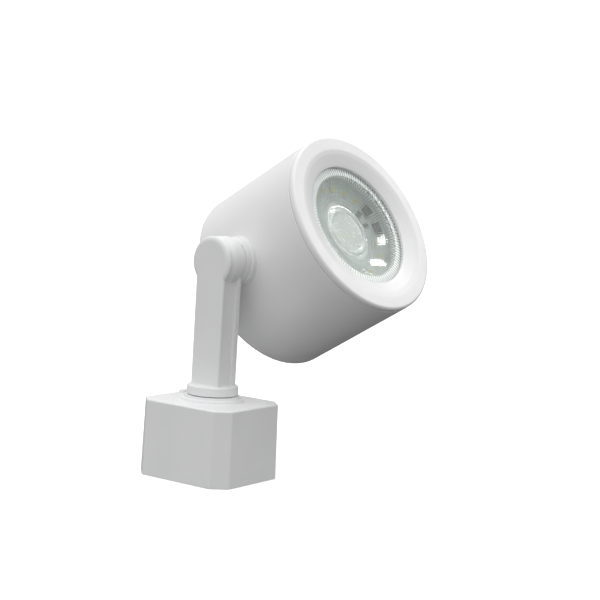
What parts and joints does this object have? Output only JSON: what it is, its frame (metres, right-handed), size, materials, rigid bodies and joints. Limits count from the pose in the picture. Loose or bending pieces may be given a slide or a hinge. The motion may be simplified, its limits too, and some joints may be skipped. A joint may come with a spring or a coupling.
{
  "type": "track spotlight",
  "caption": "Track spotlight: adapter box with a twist-lock stem, a panning arm and a drum-shaped lamp head with a deep bowl lens, tilting beside the arm.",
  "frame": {"origin": "centre of the adapter box's underside, the face that closes against the track, where the track lock is", "axes": "+Z away from the track along the arm and the pan axis, +X along the adapter box"},
  "size_m": [0.0848, 0.1064, 0.1355],
  "materials": {
    "white_plastic": "fine matte moulded plastic",
    "white_housing": "smooth satin moulded plastic",
    "light_grey_plastic": "matte moulded plastic",
    "brass_contact": "plain stamped brass",
    "zinc_steel": "zinc plated",
    "fibre_washer": "pressed fibre",
    "blue_epoxy": "dipped epoxy",
    "fuse_body": "ceramic tube",
    "white_insulation": "soft extruded insulation",
    "bare_aluminium": "bare die cast",
    "board_white": "white solder resist on aluminium",
    "led_phosphor": "yellow phosphor resin",
    "chip_black": "moulded black epoxy",
    "clear_lens": "clear moulded plastic with a faint green tint",
    "silicone_seal": "translucent silicone"
  },
  "bodies": {
    "adapter": {"adapter_cover": "white_plastic", "adapter_base_plate": "white_plastic", "base_screws": "zinc_steel", "track_stem": "light_grey_plastic", "live_contact": "brass_contact", "neutral_contact": "brass_contact", "earth_contact": "brass_contact", "terminal_block": "light_grey_plastic", "terminal_screws": "zinc_steel", "surge_arrester": "blue_epoxy", "fuse": "fuse_body", "swivel_seat": "white_plastic", "swivel_bush": "light_grey_plastic", "pan_stop_pin": "zinc_steel"},
    "arm": {"swivel_collar": "white_plastic", "swivel_friction_washer": "fibre_washer", "swivel_spring_washer": "zinc_steel", "swivel_nut": "zinc_steel", "swivel_tube": "zinc_steel", "arm_channel": "white_plastic", "arm_cover": "white_plastic", "arm_leads": "white_insulation", "tilt_bush": "light_grey_plastic", "tilt_stop_pin": "zinc_steel"},
    "head": {"head_hub": "white_housing", "pivot_axle": "zinc_steel", "pivot_spring_washer": "zinc_steel", "tilt_friction_washer": "fibre_washer", "pivot_nut": "zinc_steel", "head_housing": "white_housing", "heat_sink": "bare_aluminium", "led_board": "board_white", "led_packages": "led_phosphor", "driver_chips": "chip_black", "board_screws": "zinc_steel", "lens_spacer": "white_housing", "lens": "clear_lens", "lens_gasket": "silicone_seal", "bezel": "white_housing", "lead_connector": "light_grey_plastic", "head_leads": "white_insulation"}
  },
  "joints": [
    {"name": "pan", "type": "hinge", "parent": "adapter", "child": "arm", "pos_m": [0, 0, 0.029], "axis": [0, 0, 1], "range_deg": [-159, 169]},
    {"name": "tilt", "type": "hinge", "parent": "arm", "child": "head", "pos_m": [0, 0, 0.0824], "axis": [-0.0872, -0.9962, 0], "range_deg": [-30.2, 59.8]}
  ]
}
